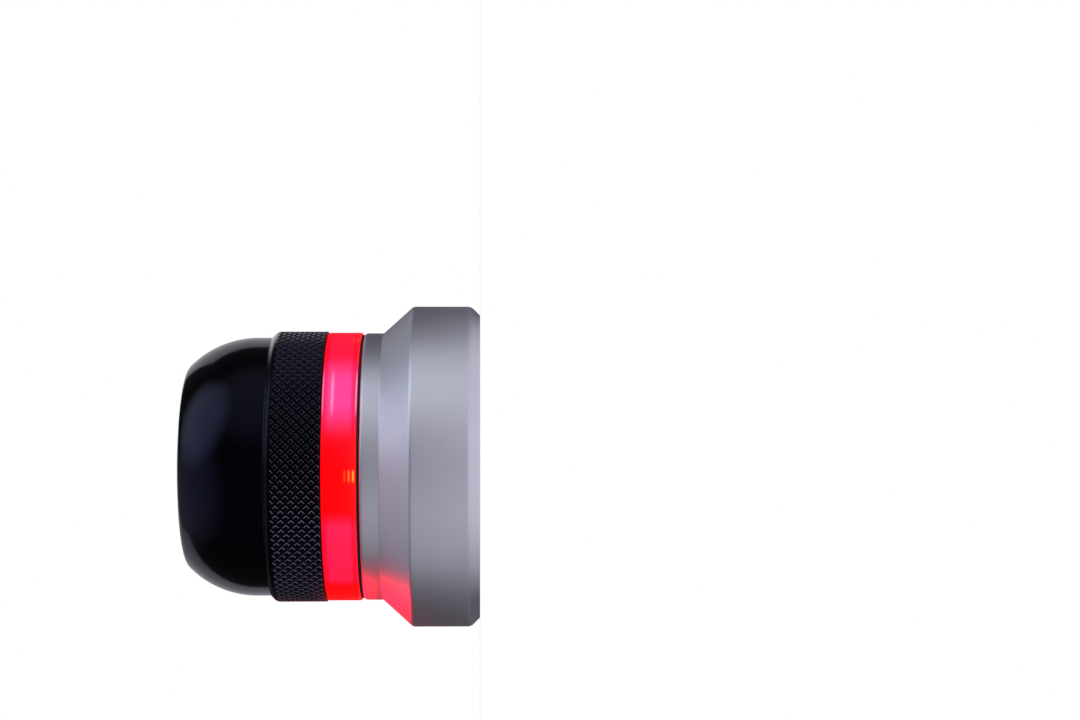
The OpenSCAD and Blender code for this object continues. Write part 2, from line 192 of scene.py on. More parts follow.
# how far a point lies towards one side of the ring, from one level to another over a range in radii
def sideShare(tree, place, angle, radii, radius, levels):
    side = math.radians(angle)
    towards = addNode(tree, "VectorMath", {0: place, 1: (math.cos(side), math.sin(side), 0)},
                      operation="DOT_PRODUCT")["Value"]
    return addNode(tree, "MapRange", {"Value": towards, "From Min": radii[0] * radius * mm,
                                      "From Max": radii[1] * radius * mm, "To Min": levels[0],
                                      "To Max": levels[1]})[0]


# Polycarbonate, moulded, milky red and lit from inside: the colour fills it evenly, a clear gloss lies over
# it, and each lamp shows as short hot streaks near the lower edge, painted strongest on the lamp that faces
# the front. One side is painted redder, as in shade, and the other paler, as where daylight falls. Pale lines
# are painted highlights on the bevels and round the wall, where the light is weak.
def litPolycarbonate(s):
    material, tree = newMaterial("mouldedRedPolycarbonateLit")
    place = addNode(tree, "TexCoord")["Object"]
    x, y, z = addNode(tree, "SeparateXYZ", {0: place})

    # distance round the ring from the middle of the nearest bright zone, as a share of their spacing
    angle = addNode(tree, "Math", {0: y, 1: x}, operation="ARCTAN2")[0]
    share = s["count"] / (2 * math.pi)
    offset = 0.5 - s["angle"] * s["count"] / 360
    turn = addNode(tree, "Math", {0: angle, 1: share, 2: offset + s["count"]}, operation="MULTIPLY_ADD")[0]
    cell = addNode(tree, "Math", {0: turn}, operation="FRACT")[0]
    centred = addNode(tree, "Math", {0: cell, 1: 0.5}, operation="SUBTRACT")[0]
    away = addNode(tree, "Math", {0: centred}, operation="ABSOLUTE")[0]
    spacing = 2 * math.pi * s["radius"] / s["count"]

    # glow of the zones, painted fuller and redder on the shaded side and paler on the lit side
    spread = addNode(tree, "MapRange", {"Value": away, "From Min": s["core"] / spacing,
                                        "From Max": s["reach"] / spacing, "To Min": 1.0, "To Max": 0.0},
                     interpolation_type="SMOOTHSTEP")[0]
    glowShare = sideShare(tree, place, s["shadedSideAngle"], s["sideGlowRange"], s["radius"], (s["sideGlow"], 1.0))
    lowShare = sideShare(tree, place, s["shadedSideAngle"], s["lowGlowRange"], s["radius"], (0.0, s["lowGlow"]))
    fromZones = addNode(tree, "Math", {0: spread, 1: glowShare}, operation="MULTIPLY")[0]
    near = addNode(tree, "Math", {0: fromZones, 1: lowShare}, operation="MAXIMUM")[0]

    # hot streaks of the lamps, painted strongest on the lamp that faces the front
    onStreak = addNode(tree, "MapRange", {"Value": away,
                                          "From Min": (s["streakHalf"] - s["streakSoft"]) / spacing,
                                          "From Max": s["streakHalf"] / spacing,
                                          "To Min": 1.0, "To Max": 0.0},
                       interpolation_type="SMOOTHSTEP")[0]
    streaks = [softBand(tree, z, height, s["streakWidth"], level)
               for height, level in zip(s["streakHeights"], s["streakLevels"])]
    total = streaks[0]
    for streak in streaks[1:]:
        total = addNode(tree, "Math", {0: total, 1: streak}, operation="ADD")[0]
    glareShare = sideShare(tree, place, s["glareAngle"], s["sideHotRange"], s["radius"], (s["sideHot"], 1.0))
    onLamp = addNode(tree, "Math", {0: onStreak, 1: glareShare}, operation="MULTIPLY")[0]
    hot = addNode(tree, "Math", {0: total, 1: onLamp}, operation="MULTIPLY", use_clamp=True)[0]
    light = addNode(tree, "Mix", {"Factor": hot, "A": linearColour(s["red"]), "B": linearColour(s["hot"])},
                    data_type="RGBA")[2]
    even = addNode(tree, "Math", {0: near, 1: s["glowNear"], 2: s["glow"]}, operation="MULTIPLY_ADD")[0]
    strength = addNode(tree, "Math", {0: hot, 1: s["glowHot"], 2: even}, operation="MULTIPLY_ADD")[0]

    # colour of the plastic: milky, deeper towards both rims, with painted pale highlights along its edges and
    # round the wall, plain red in the zones
    rim = endBand(tree, z, s["rimLow"], s["rimHigh"], s["rimSoft"])
    # painted highlights: a pale line on each bevel and one round the wall, faded where the glow is strong
    bevel = endBand(tree, z, s["bevelHighlightLow"] - s["bevelHighlightSoft"], s["bevelHighlightHigh"] + s["bevelHighlightSoft"], s["bevelHighlightSoft"])
    step = softBand(tree, z, s["highlightHeight"], s["highlightHalf"])
    edges = addNode(tree, "Math", {0: step, 1: bevel}, operation="MAXIMUM")[0]
    clear = addNode(tree, "MapRange", {"Value": near, "From Max": s["highlightFade"],
                                       "To Min": 1.0, "To Max": 0.0})[0]
    line = addNode(tree, "Math", {0: edges, 1: clear}, operation="MULTIPLY")[0]
    cloudy = addNode(tree, "Mix", {"Factor": rim, "A": linearColour(s["milk"]), "B": linearColour(s["deep"])},
                     data_type="RGBA")[2]
    highlighted = addNode(tree, "Mix", {"Factor": line, "A": cloudy, "B": linearColour(s["pale"])},
                      data_type="RGBA")[2]
    body = addNode(tree, "Mix", {"Factor": near, "A": highlighted, "B": linearColour(s["skin"])},
                   data_type="RGBA")[2]

    grain = addNode(tree, "TexNoise", {"Vector": place, "Scale": 1 / (s["grain"] * mm), "Detail": 2.0})[0]
    roughness = addNode(tree, "MapRange", {"Value": grain, "To Min": s["smooth"], "To Max": s["rough"]})[0]
    shader = addNode(tree, "BsdfPrincipled", {
        "Base Color": body, "Roughness": roughness, "IOR": s["ior"],
        "Emission Color": light, "Emission Strength": strength,
    })[0]
    addNode(tree, "OutputMaterial", {"Surface": shader})
    return material


redPolycarbonate = litPolycarbonate(lampRing)


# A finish with two tones and a grain of one size: hidden pieces and rubber
def grainedFinish(name, finish):
    material, tree = newMaterial(name)
    place = addNode(tree, "TexCoord")["Object"]
    grain = addNode(tree, "TexNoise", {"Vector": place, "Scale": 1 / (finish["grain"] * mm),
                                       "Detail": 3.0})[0]
    colour = addNode(tree, "Mix", {"Factor": grain, "A": linearColour(finish["colour"]),
                                   "B": linearColour(finish["colourTwo"])}, data_type="RGBA")[2]
    roughness = addNode(tree, "MapRange", {"Value": grain, "To Min": finish["smooth"],
                                           "To Max": finish["rough"]})[0]
    bump = addNode(tree, "Bump", {"Height": grain, "Distance": finish["relief"] * mm, "Strength": 1.0})[0]
    shader = addNode(tree, "BsdfPrincipled", {"Base Color": colour, "Roughness": roughness, "Normal": bump,
                                              "Metallic": finish["metallic"]})[0]
    addNode(tree, "OutputMaterial", {"Surface": shader})
    return material


# Nitrile rubber, die cut: dull black with a soft, dusty skin
sealRubber = grainedFinish("dieCutNitrileRubber", {
    "colour": "0b0b0c", "colourTwo": "171719", "metallic": 0.0, "smooth": 0.6, "rough": 0.8,
    "grain": 0.3, "relief": 0.004,
})
# Spring and stem steel, drawn and ground: bright, narrow highlights
brightSteel = grainedFinish("groundBrightSteel", {
    "colour": "b4b6bb", "colourTwo": "c6c8cc", "metallic": 1.0, "smooth": 0.2, "rough": 0.3,
    "grain": 0.4, "relief": 0.0006,
})
# Glass-epoxy laminate under green solder mask: the weave shows as a slight ripple
boardLaminate = grainedFinish("solderMaskedGlassEpoxy", {
    "colour": "14532f", "colourTwo": "1c6439", "metallic": 0.0, "smooth": 0.32, "rough": 0.45,
    "grain": 0.5, "relief": 0.006,
})
# Filled epoxy resin, transfer moulded: matt charcoal
chipResin = grainedFinish("mouldedChipResin", {
    "colour": "17181a", "colourTwo": "232427", "metallic": 0.0, "smooth": 0.5, "rough": 0.7,
    "grain": 0.15, "relief": 0.004,
})
# Clear epoxy over a red chip, cast: glossy red
lampResin = grainedFinish("castRedLampResin", {
    "colour": "e0142a", "colourTwo": "f02a3c", "metallic": 0.0, "smooth": 0.08, "rough": 0.16,
    "grain": 0.8, "relief": 0.001,
})
# Nickel-plated pressed steel of a coin cell: bright with a slight cloud
cellCan = grainedFinish("nickelPlatedPressedSteel", {
    "colour": "bdbcb6", "colourTwo": "cfcec9", "metallic": 1.0, "smooth": 0.16, "rough": 0.28,
    "grain": 2.5, "relief": 0.002,
})
# Acetal, turned: white, waxy
sleevePlastic = grainedFinish("turnedWhiteAcetal", {
    "colour": "e4e3dd", "colourTwo": "efeee9", "metallic": 0.0, "smooth": 0.35, "rough": 0.5,
    "grain": 0.6, "relief": 0.003,
})
# Brass, stamped and flash plated: warm yellow
contactBrass = grainedFinish("stampedPlatedBrass", {
    "colour": "cfa756", "colourTwo": "d9b466", "metallic": 1.0, "smooth": 0.2, "rough": 0.34,
    "grain": 0.5, "relief": 0.001,
})
# Bronze, sintered and oil filled: brown, open grain
bushBronze = grainedFinish("sinteredBronze", {
    "colour": "8a6236", "colourTwo": "a67c48", "metallic": 1.0, "smooth": 0.36, "rough": 0.55,
    "grain": 0.2, "relief": 0.006,
})
print("materials made:", len(bpy.data.materials))


# Turned shapes

tiny = 1e-6     # mm, what still counts as the same radius


# corners are (radius, height, rounding, rows) in mm: each corner becomes an arc tangent to both its sides,
# and rows, where given, splits the straight side that follows it
def roundCorners(corners, steps=8):
    points = np.array([corner[:2] for corner in corners], float)
    pieces = []
    for k, corner in enumerate(corners):
        here = points[k]
        following = points[(k + 1) % len(points)]
        if corner[2] == 0:
            pieces.append(here[None])
        else:
            back, ahead = points[k - 1] - here, following - here
            back, ahead = back / np.linalg.norm(back), ahead / np.linalg.norm(ahead)
            half = 0.5 * math.acos(np.clip(back @ ahead, -1, 1))
            middle = here + (back + ahead) / np.linalg.norm(back + ahead) * corner[2] / math.sin(half)
            first = here + back * corner[2] / math.tan(half) - middle
            last = here + ahead * corner[2] / math.tan(half) - middle
            start = math.atan2(first[1], first[0])
            sweep = (math.atan2(last[1], last[0]) - start + math.pi) % (2 * math.pi) - math.pi
            turn = start + sweep * np.linspace(0, 1, steps + 1)
            pieces.append(middle + corner[2] * np.stack([np.cos(turn), np.sin(turn)], 1))
        if len(corner) > 3:
            share = np.linspace(0, 1, corner[3] + 1)[1:-1, None]
            pieces.append(here + (following - here) * share)
    return np.concatenate(pieces)


# points on an arc about (radius, height), from one angle to another, in mm and degrees
def arcPoints(centre, radius, first, last, count):
    turn = np.radians(np.linspace(first, last, count))
    return np.stack([centre[0] + radius * np.cos(turn), centre[1] + radius * np.sin(turn)], 1)


# Surface of revolution: row and column give (r cos a, r sin a, z), r and z from the profile, a round the
# axis. carve(r, z, a) cuts into the radius. fold(z, a) says which diagonal splits a cell.
# A loop profile closes on itself, and one that ends on the axis closes there in a fan.
def spin(profile, columns, loop, carve=None, fold=None):
    angle = np.arange(columns) * 2 * np.pi / columns
    r = np.repeat(profile[:, :1], columns, 1)
    z = np.repeat(profile[:, 1:], columns, 1)
    a = np.broadcast_to(angle, r.shape)
    if carve:
        r = carve(r, z, a)
    points = np.stack([r * np.cos(a), r * np.sin(a), z], -1)
    index = np.arange(r.size).reshape(r.shape)
    if not loop:
        index[0], index[-1] = index[0, 0], index[-1, 0]
    lower = index if loop else index[:-1]
    upper = np.roll(index, -1, 0) if loop else index[1:]
    corners = lower, np.roll(lower, -1, 1), np.roll(upper, -1, 1), upper
    straight = np.zeros(lower.shape, bool)
    if fold:
        middle = 0.5 * (z + np.roll(z, -1, 0))[:len(lower)]
        straight = fold(middle, a[:len(lower)] + np.pi / columns)
    p, q, s, t = (corner.ravel() for corner in corners)
    flag = straight.ravel()[:, None]
    one = np.where(flag, np.stack([p, q, s], 1), np.stack([p, q, t], 1))
    two = np.where(flag, np.stack([p, s, t], 1), np.stack([q, s, t], 1))
    return points.reshape(-1, 3), np.concatenate([one, two])


# takes points in mm and triangles, drops empty triangles and spare points, turns the faces outwards,
# and adds the finished piece to its body
def addPiece(name, points, triangles, material, body, slot, nodes, crease=24):
    a, b, c = triangles.T
    triangles = triangles[(a != b) & (b != c) & (c != a)]
    used, flat = np.unique(triangles, return_inverse=True)
    points, triangles = points[used], flat.reshape(-1, 3)
    corner = points[triangles]
    volume = np.einsum("ij,ij->i", corner[:, 0], np.cross(corner[:, 1], corner[:, 2])).sum()
    if volume < 0:
        triangles = triangles[:, ::-1]
    mesh = bpy.data.meshes.new(name)
    mesh.vertices.add(len(points))
    mesh.vertices.foreach_set("co", (points * mm).astype(np.float32).ravel())
    mesh.loops.add(triangles.size)
    mesh.loops.foreach_set("vertex_index", triangles.astype(np.int32).ravel())
    mesh.polygons.add(len(triangles))
    mesh.polygons.foreach_set("loop_start", np.arange(0, triangles.size, 3, dtype=np.int32))
    mesh.update(calc_edges=True)
    mesh.validate()
    mesh.shade_smooth()
    mesh.set_sharp_from_angle(angle=math.radians(crease))
    mesh.materials.append(material)
    piece = bpy.data.objects.new(name, mesh)
    bpy.context.scene.collection.objects.link(piece)
    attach(piece, body)
    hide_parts(*nodes)
    print("piece:", name, len(triangles), "triangles")
    return piece


# size of a CAD node in mm: outer radius, lowest and highest point
def turnedSize(node):
    low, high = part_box(node)
    return max(high.x, high.y) / mm, low.z / mm, high.z / mm


# Base: flange with a chamfered foot, cone and neck, bored from above for the board and the cell
flangeRadius, footHeight, neckTop = turnedSize("base_body")
basePiece = {
    "columns": 360, "reliefRadius": 20.0, "reliefDepth": 0.6, "footChamfer": 1.5, "flangeHeight": 11.4,
    "coneTop": 16.5, "neckRadius": 22.9, "recessRadius": 21.45, "shelf": 18.2,
    "neckDrop": 0.16,                               # how far the neck stays under its solid's top
    "pocketRadius": 11.1, "pocketFloor": 13.25,
    "footRound": 1.4, "cornerRound": 1.0,           # edge roundings
    "coneRound": 0.3, "neckRound": 0.7, "fine": 0.12,
}


# half section of the base: from the relief's middle out over foot, flange, cone and neck, then down into
# the pocket
def baseProfile(s):
    fine = s["fine"]
    neckEnd = neckTop - s["neckDrop"]
    return roundCorners([
        (0, s["reliefDepth"], 0),
        (s["reliefRadius"], s["reliefDepth"], fine),
        (s["reliefRadius"], footHeight, fine),
        (flangeRadius - s["footChamfer"], footHeight, fine),
        (flangeRadius, s["footChamfer"], s["footRound"]),
        (flangeRadius, s["flangeHeight"], s["cornerRound"]),
        (s["neckRadius"], s["coneTop"], s["coneRound"]),
        (s["neckRadius"], neckEnd, s["neckRound"]),
        (s["recessRadius"], neckEnd, fine),
        (s["recessRadius"], s["shelf"], fine),
        (s["pocketRadius"], s["shelf"], fine),
        (s["pocketRadius"], s["pocketFloor"], fine),
        (0, s["pocketFloor"], 0),
    ])


addPiece("turnedBase", *spin(baseProfile(basePiece), basePiece["columns"], loop=False),
         satinAluminium, "base", "satin_aluminium", ["base_body"])

# Gaskets: flat rubber rings with soft edges, squeezed between their neighbours
gasketShape = {
    "columns": 256,
    "softness": 0.3,                                # edge rounding as a share of the thickness
    "steps": 5,
}
gasketPieces = {
    # squeeze: how far the lower and the upper face move from the solid's
    "lowerGasket": {"node": "lower_gasket", "body": "base", "inner": 21.55, "squeeze": (-0.16, -0.24)},
    "upperGasket": {"node": "upper_gasket", "body": "seal", "inner": 21.5, "squeeze": (-0.2, -0.3)},
}
for name, s in gasketPieces.items():
    outer, low, high = turnedSize(s["node"])
    low, high = low + s["squeeze"][0], high + s["squeeze"][1]
    soft = gasketShape["softness"] * (high - low)
    profile = roundCorners([(s["inner"], low, soft), (outer, low, soft), (outer, high, soft),
                            (s["inner"], high, soft)], steps=gasketShape["steps"])
    addPiece(name, *spin(profile, gasketShape["columns"], loop=True),
             sealRubber, s["body"], "seal_rubber", [s["node"]])

# Light ring: the wall that glows, a channel for the lamps, a screwed ledge and the threaded spigot
lightRadius, boardTop, spigotTop = turnedSize("light_ring")
lightPiece = {
    "columns": 288, "wallLow": 20.16, "wallTop": 25.9, "wallInner": 21.35,
    "lampRoof": 22.0, "footRadius": 17.5,
    "ledgeInner": 13.1, "ledgeTop": 22.4, "spigotInner": 16.9, "threadRadius": 19.0,
    "threadPitch": 1.2, "threadDepth": 0.6, "threadFade": 0.35, "threadRows": 44,
    "edge": 0.24, "fine": 0.1,
}


# a V thread: the depth follows the distance from a helix that climbs one pitch in each turn,
# and fades out at its ends
def threadCut(z, a, low, high, s):
    phase = (z - low) / s["threadPitch"] - a / (2 * np.pi)
    groove = 1 - 2 * np.abs(phase - np.floor(phase) - 0.5)
    fade = np.clip((z - low) / s["threadFade"], 0, 1) * np.clip((high - z) / s["threadFade"], 0, 1)
    return s["threadDepth"] * groove * fade


# half section of the light ring: up its wall, along the spigot, back over the ledge and the lamps' channel
def lightProfile(s):
    edge, fine = s["edge"], s["fine"]
    return roundCorners([
        (s["wallInner"], s["wallLow"], fine),
        (lightRadius, s["wallLow"], edge),
        (lightRadius, s["wallTop"], edge),
        (s["threadRadius"], s["wallTop"], 0, s["threadRows"]),
        (s["threadRadius"], spigotTop, 0),
        (s["spigotInner"], spigotTop, fine),
        (s["spigotInner"], s["ledgeTop"], fine),
        (s["ledgeInner"], s["ledgeTop"], fine),
        (s["ledgeInner"], boardTop, fine),
        (s["footRadius"], boardTop, fine),
        (s["footRadius"], s["lampRoof"], fine),
        (s["wallInner"], s["lampRoof"], fine),
    ])


# the thread is taken off the spigot's radius
def cutSpigot(r, z, a):
    s = lightPiece
    onThread = np.abs(r - s["threadRadius"]) < tiny
    return r - np.where(onThread, threadCut(z, a, s["wallTop"], spigotTop, s), 0)


addPiece("lightRing", *spin(lightProfile(lightPiece), lightPiece["columns"], loop=True, carve=cutSpigot),
         redPolycarbonate, "base", "red_lens", ["light_ring"])

# Knurled ring: plain bored skirt, diamond knurl, plain rounded lip, collar, web and boss
knurlRadius, bossLow, bossTop = turnedSize("knurled_ring")
knurlPiece = {
    "diamonds": 86, "halfRows": 9, "split": 4,      # diamonds round, half rows up, cells along half a diamond
    "low": 26.55, "high": 34.13, "depth": 0.31,
    "runOut": 2,                                    # cells that run on below the low end
    "shape": (0.0, 0.5, 1.0, 1.0, 1.0),             # height at even steps from groove to a diamond's middle
    "wornAt": 0.5, "wornReach": 0.25,               # where along those steps the black is worn off
    "wornBack": 0.5,                                # wear of the slopes that only unscrewing pushes
    "margin": 0.01,                                 # room for rounding when wear is looked up
    "ringLow": 26.1, "bore": 19.05, "skirtRadius": 22.62,
    "shoulder": 34.2, "shoulderStep": 0.03, "shoulderRound": 1.06, "shoulderTurn": 66.0, "shoulderRows": 14,
    "lipRadius": 22.42, "ringTop": 35.4,
    "collarRadius": 22.2, "channel": 31.4, "plateauRadius": 20.15, "webLow": 29.7, "webTop": 32.7,
    "bossRadius": 7.55, "bushRadius": 5.55, "contactInner": 11.1, "contactOuter": 13.1, "contactRoof": 30.0,
    "edge": 0.12, "fine": 0.08, "crease": 26,
}


# offset from the nearest peak along both slanted directions, as shares of the distance between peaks
def knurlOffsets(z, a, s):
    row = (z - s["low"]) / (s["high"] - s["low"]) * s["halfRows"]
    column = a / np.pi * s["diamonds"]
    rising, falling = (row + column) / 2, (row - column) / 2
    return rising - np.rint(rising), falling - np.rint(falling)


# one at a peak and nought in a groove: pyramids between two sets of helical grooves
def knurlHeight(z, a, s):
    rising, falling = knurlOffsets(z, a, s)
    return 1 - 2 * np.maximum(np.abs(rising), np.abs(falling))


# the pyramids are cut off flat, and their height is taken off the radius
def cutKnurl(r, z, a):
    s = knurlPiece
    height = np.interp(knurlHeight(z, a, s), np.linspace(0, 1, len(s["shape"])), s["shape"])
    onKnurl = np.abs(r - knurlRadius) < tiny
    return r - np.where(onKnurl, s["depth"] * (1 - height), 0)


# cells of the knurl are split along the groove that crosses them
def knurlFold(z, a):
    s = knurlPiece
    row = np.floor((z - s["low"]) / (s["high"] - s["low"]) * s["halfRows"])
    column = np.floor(a / np.pi * s["diamonds"])
    return (row + column) % 2 == 1


# half section of the ring: up the skirt and the knurl, over the shoulder's arc, and back through the inside
def knurlProfile(s):
    edge, fine = s["edge"], s["fine"]
    rows = s["halfRows"] * s["split"]
    cell = (s["high"] - s["low"]) / rows
    skirt = roundCorners([
        (s["bore"], s["webLow"], 0),
        (s["bore"], s["ringLow"], fine),
        (s["skirtRadius"], s["ringLow"], fine),
        (knurlRadius, s["low"] - s["runOut"] * cell, 0, rows + s["runOut"]),
        (knurlRadius, s["high"], 0),
    ], steps=4)
    shoulderRadius = knurlRadius - s["shoulderStep"]
    shoulder = arcPoints((shoulderRadius - s["shoulderRound"], s["shoulder"]), s["shoulderRound"],
                         0, s["shoulderTurn"], s["shoulderRows"])
    inside = roundCorners([
        tuple(shoulder[-1]) + (0,),
        (s["lipRadius"], s["ringTop"], edge),
        (s["collarRadius"], s["ringTop"], fine),
        (s["collarRadius"], s["channel"], fine),
        (s["plateauRadius"], s["channel"], fine),
        (s["plateauRadius"], s["webTop"], fine),
        (s["bossRadius"], s["webTop"], fine),
        (s["bossRadius"], bossTop, fine),
        (s["bushRadius"], bossTop, fine),
        (s["bushRadius"], bossLow, fine),
        (s["bossRadius"], bossLow, fine),
        (s["bossRadius"], s["webLow"], fine),
        (s["contactInner"], s["webLow"], fine),
        (s["contactInner"], s["contactRoof"], fine),
        (s["contactOuter"], s["contactRoof"], fine),
        (s["contactOuter"], s["webLow"], fine),
        (s["bore"], s["webLow"], 0),
    ], steps=4)
    return np.concatenate([skirt, shoulder, inside[1:-1]])


# wear of the diamonds: full on the upper edge of each slope, none a short way down it or on the flat top, and
# less on the slopes that only unscrewing pushes
def edgeWear(mesh, s):
    place = np.empty(3 * len(mesh.vertices), np.float32)
    corner = np.empty(len(mesh.loops), np.int32)
    mesh.vertices.foreach_get("co", place)
    mesh.loops.foreach_get("vertex_index", corner)
    corners = place.reshape(-1, 3)[corner] / mm
    x, y, z = corners.T
    height = knurlHeight(z, np.arctan2(y, x), s)
    middleX, middleY, middleZ = corners.reshape(-1, 3, 3).mean(1).T
    rising, falling = knurlOffsets(middleZ, np.arctan2(middleY, middleX), s)
    push = np.repeat(np.where(rising > falling, 1, s["wornBack"]), 3)
    onSlope = np.repeat(height.reshape(-1, 3).mean(1) < s["wornAt"], 3)
    outside = np.hypot(x, y) > knurlRadius - s["depth"] - s["margin"]
    onKnurl = (z > s["ringLow"]) & (z < s["high"]) & outside
    rubbed = np.clip(1 - np.abs(height - s["wornAt"]) / s["wornReach"], 0, 1) * push
    wear = np.where(onKnurl & onSlope, rubbed, 0)
    mesh.attributes.new("edgeWear", "FLOAT", "CORNER").data.foreach_set("value", wear.astype(np.float32))


knurlColumns = 2 * knurlPiece["diamonds"] * knurlPiece["split"]
knurledRing = addPiece("knurledRing", *spin(knurlProfile(knurlPiece), knurlColumns, loop=True,
                                            carve=cutKnurl, fold=knurlFold),
                       blackKnurl, "housing", "black_aluminium", ["knurled_ring"],
                       crease=knurlPiece["crease"])
edgeWear(knurledRing.data, knurlPiece)

# Cap: straight side, a dome whose arc ends at the rim of the flat face, hollow with a hub for the stem
capRadius, capLow, capTop = turnedSize("sensing_cap")
capPiece = {
    "columns": 384, "sideTop": 38.0, "faceRadius": 16.85, "wall": 1.8, "ceiling": 46.0,
    "hubRadius": 6.0, "hubLow": 41.5, "boreRadius": 2.55, "boreTop": 47.3,
    "ceilingRun": 2.0,                              # a row of points on the ceiling, this far from the hub
    "rim": 0.95, "edge": 0.15, "arcRows": 48, "rimRows": 7,
}


# half section of the cap: face, rim, dome, straight side, then the vault and the hub inside. The dome's arc
# is tangent to the side, so its radius is (rise squared + inset squared) / (2 inset)
def capProfile(s):
    rise, inset = capTop - s["sideTop"], capRadius - s["faceRadius"]
    domeRadius = (rise ** 2 + inset ** 2) / (2 * inset)
    centre = capRadius - domeRadius, s["sideTop"]
    innerRadius = domeRadius - s["wall"]
    rimAngle = math.degrees(math.asin(rise / domeRadius))
    ceilingAngle = math.degrees(math.asin((s["ceiling"] - s["sideTop"]) / innerRadius))
    rimBack = math.degrees(s["rim"] / domeRadius)
    dome = arcPoints(centre, domeRadius, rimAngle - rimBack, 0, s["arcRows"])
    vault = arcPoints(centre, innerRadius, 0, ceilingAngle, s["arcRows"] // 2)
    nearRim = s["faceRadius"] - s["rim"]
    # the rim is a short curve from the flat face to the dome, drawn towards the corner that they would share
    share = np.linspace(0, 1, s["rimRows"])[:, None]
    corner = np.array([s["faceRadius"], capTop])
    flat = np.array([nearRim, capTop])
    rim = (1 - share) ** 2 * flat + 2 * share * (1 - share) * corner + share ** 2 * dome[0]
    skirt = roundCorners([
        (capRadius, s["sideTop"], 0),
        (capRadius, capLow, s["edge"]),
        (capRadius - s["wall"], capLow, s["edge"]),
        (capRadius - s["wall"], s["sideTop"], 0),
    ])
    bore = roundCorners([
        (s["hubRadius"] + s["ceilingRun"], s["ceiling"], 0),
        (s["hubRadius"], s["ceiling"], s["edge"]),
        (s["hubRadius"], s["hubLow"], s["edge"]),
        (s["boreRadius"], s["hubLow"], s["edge"]),
        (s["boreRadius"], s["boreTop"], s["edge"]),
        (0, s["boreTop"], 0),
    ])
    return np.concatenate([[[0, capTop]], rim[:-1], dome, skirt[1:-1], vault, bore])


addPiece("domedCap", *spin(capProfile(capPiece), capPiece["columns"], loop=False),
         blackAluminium, "cap", "black_aluminium", ["sensing_cap"])

# Return spring: round wire on a helix whose first and last turns lie closed on their seats
springOuter, springLow, springHigh = turnedSize("return_spring")
springPiece = {
    "wire": 1.0, "turns": 6.5, "closedPitch": 1.15, "travel": 2.5,
    "sides": 14, "stepsPerTurn": 60, "crease": 40,
}


# wire centre at turn t: radius fixed, height slow in the closed turns and even between them; the wire's
# circle stands across the helix at each step, and a point at each end closes it
def springSurface(s):
    count = round(s["turns"] * s["stepsPerTurn"]) + 1
    t = np.linspace(0, s["turns"], count)
    rise = springHigh - springLow - s["wire"]
    height = np.interp(t, [0, 1, s["turns"] - 1, s["turns"]],
                       [0, s["closedPitch"], rise - s["closedPitch"], rise])
    side = np.arange(s["sides"]) * 2 * np.pi / s["sides"]
    r = springOuter - s["wire"] / 2 + s["wire"] / 2 * np.cos(side)[None]
    z = (springLow + s["wire"] / 2 + height)[:, None] + s["wire"] / 2 * np.sin(side)[None]
    a = (2 * np.pi * t)[:, None]
    tube = np.stack([r * np.cos(a), r * np.sin(a), z], -1)
    points = np.concatenate([tube.reshape(-1, 3), tube[:1].mean(1), tube[-1:].mean(1)])
    index = np.arange(count * s["sides"]).reshape(count, -1)
    p, q = index[:-1], np.roll(index, -1, 1)[:-1]
    u, v = index[1:], np.roll(index, -1, 1)[1:]
    walls = [np.stack([p, q, v], -1).reshape(-1, 3), np.stack([p, v, u], -1).reshape(-1, 3)]
    first, last = index[0], index[-1]
    start = np.full_like(first, len(points) - 2)
    end = np.full_like(last, len(points) - 1)
    caps = [np.stack([np.roll(first, -1), first, start], 1), np.stack([last, np.roll(last, -1), end], 1)]
    return points, np.concatenate(walls + caps)


returnSpring = addPiece("returnSpring", *springSurface(springPiece), brightSteel, "housing", "bright_steel",
                        ["return_spring"], crease=springPiece["crease"])
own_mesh(returnSpring)

# Inner pieces keep their solids and take a finish
innerFinishes = {
    "circuit_board": boardLaminate, "board_chips": chipResin, "leds": lampResin, "ring_screws": brightSteel,
    "cell_sleeve": sleevePlastic, "contact_disc": contactBrass, "coin_cell": cellCan,
    "cell_clips": contactBrass, "contact_probe": contactBrass, "guide_bush": bushBronze,
    "contact_ring": contactBrass, "plunger_stem": brightSteel, "stop_clip": brightSteel,
}
for node, material in innerFinishes.items():
    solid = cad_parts[node]
    solid.data.materials.clear()
    solid.data.materials.append(material)
print("inner pieces finished:", len(innerFinishes))


# Stage, light and camera

stageSet = {
    "floorRadius": 0.5, "floorColour": "f4f3f1", "floorRough": 0.9,
    "fadeStart": 0.12, "fadeEnd": 0.4, "sides": 96,
    "glowSeen": 0.4,                                # the paper's own brightness as the camera sees it
    "paintedLitLevel": 0.96, "paintedShadeLevel": 0.17,            # and the painted light that the part sees, on the lit side and opposite it
    "paintedLitAzimuth": 14, "paintedLitColour": "eceaf8",      # the painted lit side, degrees
    "steepFrom": 0.3, "broadFrom": -0.5,            # how soon the painted lit side begins, near the part and beyond
    "nearEdge": 0.030, "farEdge": 0.045,            # metres from the axis, from the one to the other
}


# direction of a light: azimuth from the front towards +X, elevation above the table, in degrees
def lightDirection(azimuth, elevation):
    a, e = math.radians(azimuth), math.radians(elevation)
    return Vector((math.sin(a) * math.cos(e), -math.cos(a) * math.cos(e), math.sin(e)))
